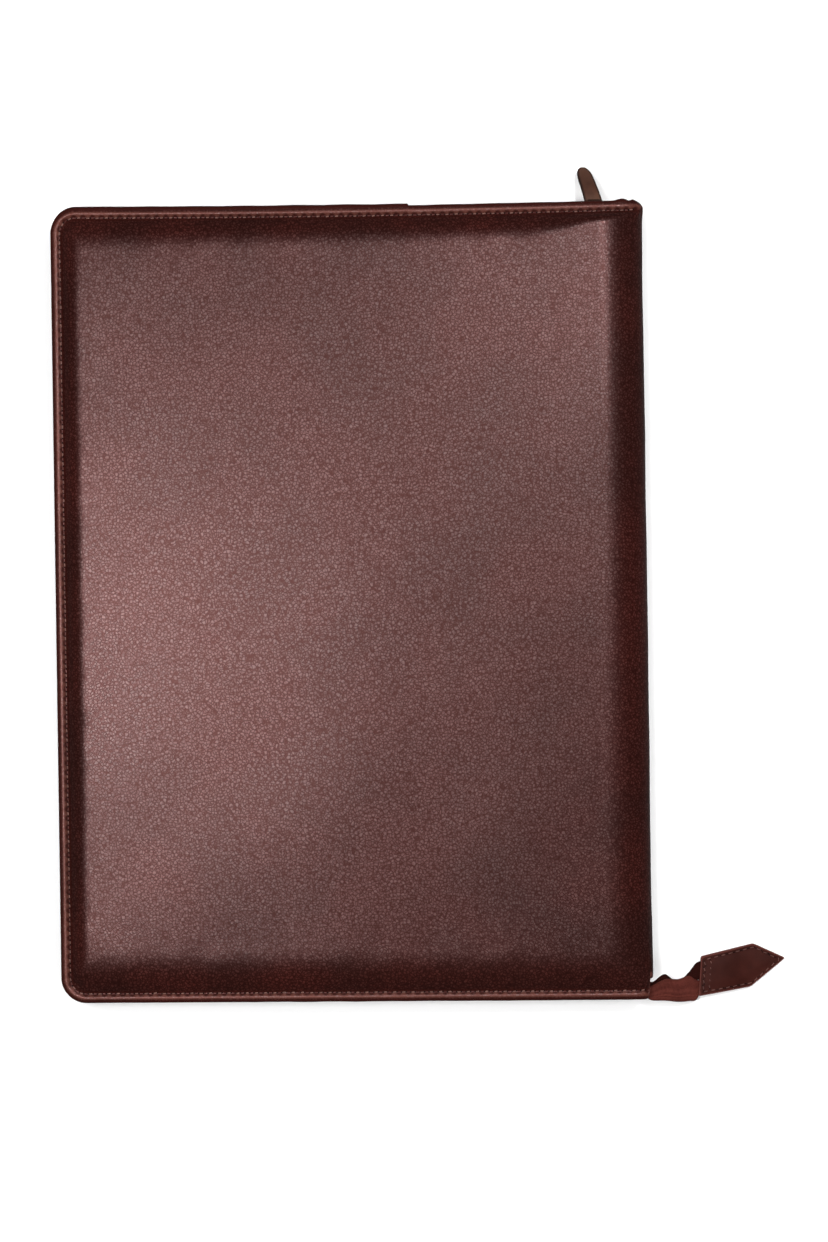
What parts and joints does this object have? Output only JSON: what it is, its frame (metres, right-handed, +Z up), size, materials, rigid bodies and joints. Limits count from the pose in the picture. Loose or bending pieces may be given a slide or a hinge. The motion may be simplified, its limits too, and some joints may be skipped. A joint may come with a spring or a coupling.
{
  "type": "leather document case",
  "caption": "Padded leather folio case with a zip round three sides, a leather slider pull and a zip tail ending in an arrow-shaped leather tab.",
  "frame": {"origin": "middle of the back cover's flat outer face, where the closed case rests", "axes": "+X towards the spine, +Y towards the top edge with the slider, +Z up through the front panel"},
  "size_m": [0.3153, 0.3656, 0.0272],
  "materials": {
    "leather": "padded nappa with a fine pebbled grain and a soft sheen",
    "tab_leather": "smooth leather with paler cut edges",
    "pull_leather": "smooth leather, dark edges",
    "zip_tape": "woven herringbone tape",
    "zip_teeth": "moulded teeth, half matt",
    "slider_metal": "aged, half matt"
  },
  "bodies": {
    "root": {"cover": "leather", "zip_tape_front": "zip_tape", "zip_tape_back": "zip_tape", "zip_chain": "zip_teeth", "slider": "slider_metal", "pull": "pull_leather", "end_tab_lower": "tab_leather", "end_tab_upper": "tab_leather"}
  },
  "joints": []
}
